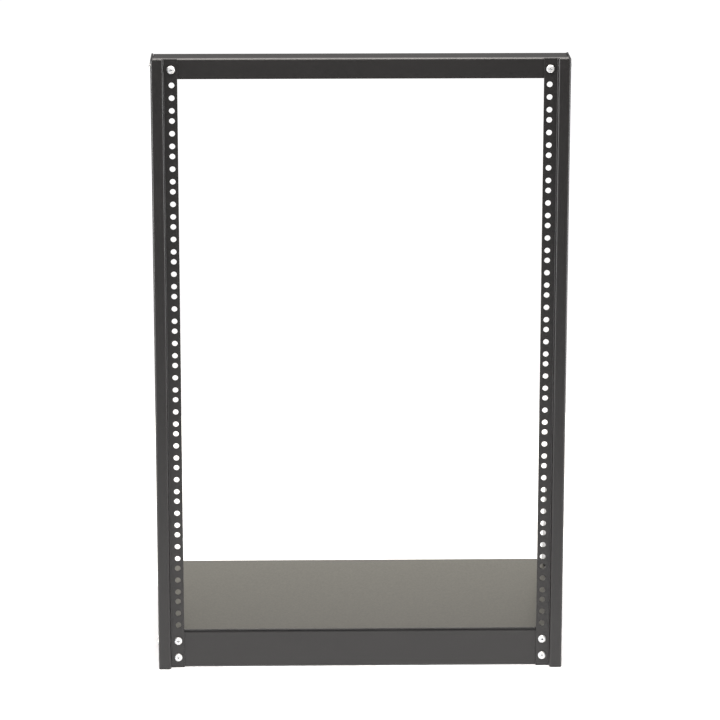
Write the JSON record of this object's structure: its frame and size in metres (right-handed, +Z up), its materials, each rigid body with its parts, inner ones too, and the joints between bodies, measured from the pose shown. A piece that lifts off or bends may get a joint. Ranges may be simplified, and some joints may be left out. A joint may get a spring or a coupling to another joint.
{
  "type": "two post open frame rack",
  "caption": "Free-standing open frame for 19 inch equipment: two folded posts with universal holes and tapered side webs, a crossbar and a plate base.",
  "frame": {"origin": "on the floor, under the centre of the rack", "axes": "+X across to the right seen from the front, +Y to the rear, +Z up"},
  "size_m": [0.522, 0.35, 0.789],
  "materials": {
    "black_powder_coat": "satin powder coat",
    "zinc": "bright zinc"
  },
  "bodies": {
    "root": {"left_post": "black_powder_coat", "right_post": "black_powder_coat", "top_crossbar": "black_powder_coat", "base_front_bar": "black_powder_coat", "base_plate": "black_powder_coat", "left_top_front_screw": "zinc", "left_top_front_nut": "zinc", "left_base_upper_screw": "zinc", "left_base_upper_nut": "zinc", "left_base_lower_screw": "zinc", "left_base_lower_nut": "zinc", "left_top_side_screw": "zinc", "left_top_side_nut": "zinc", "left_base_side_screw": "zinc", "left_base_side_nut": "zinc", "right_top_front_screw": "zinc", "right_top_front_nut": "zinc", "right_base_upper_screw": "zinc", "right_base_upper_nut": "zinc", "right_base_lower_screw": "zinc", "right_base_lower_nut": "zinc", "right_top_side_screw": "zinc", "right_top_side_nut": "zinc", "right_base_side_screw": "zinc", "right_base_side_nut": "zinc"}
  },
  "joints": []
}
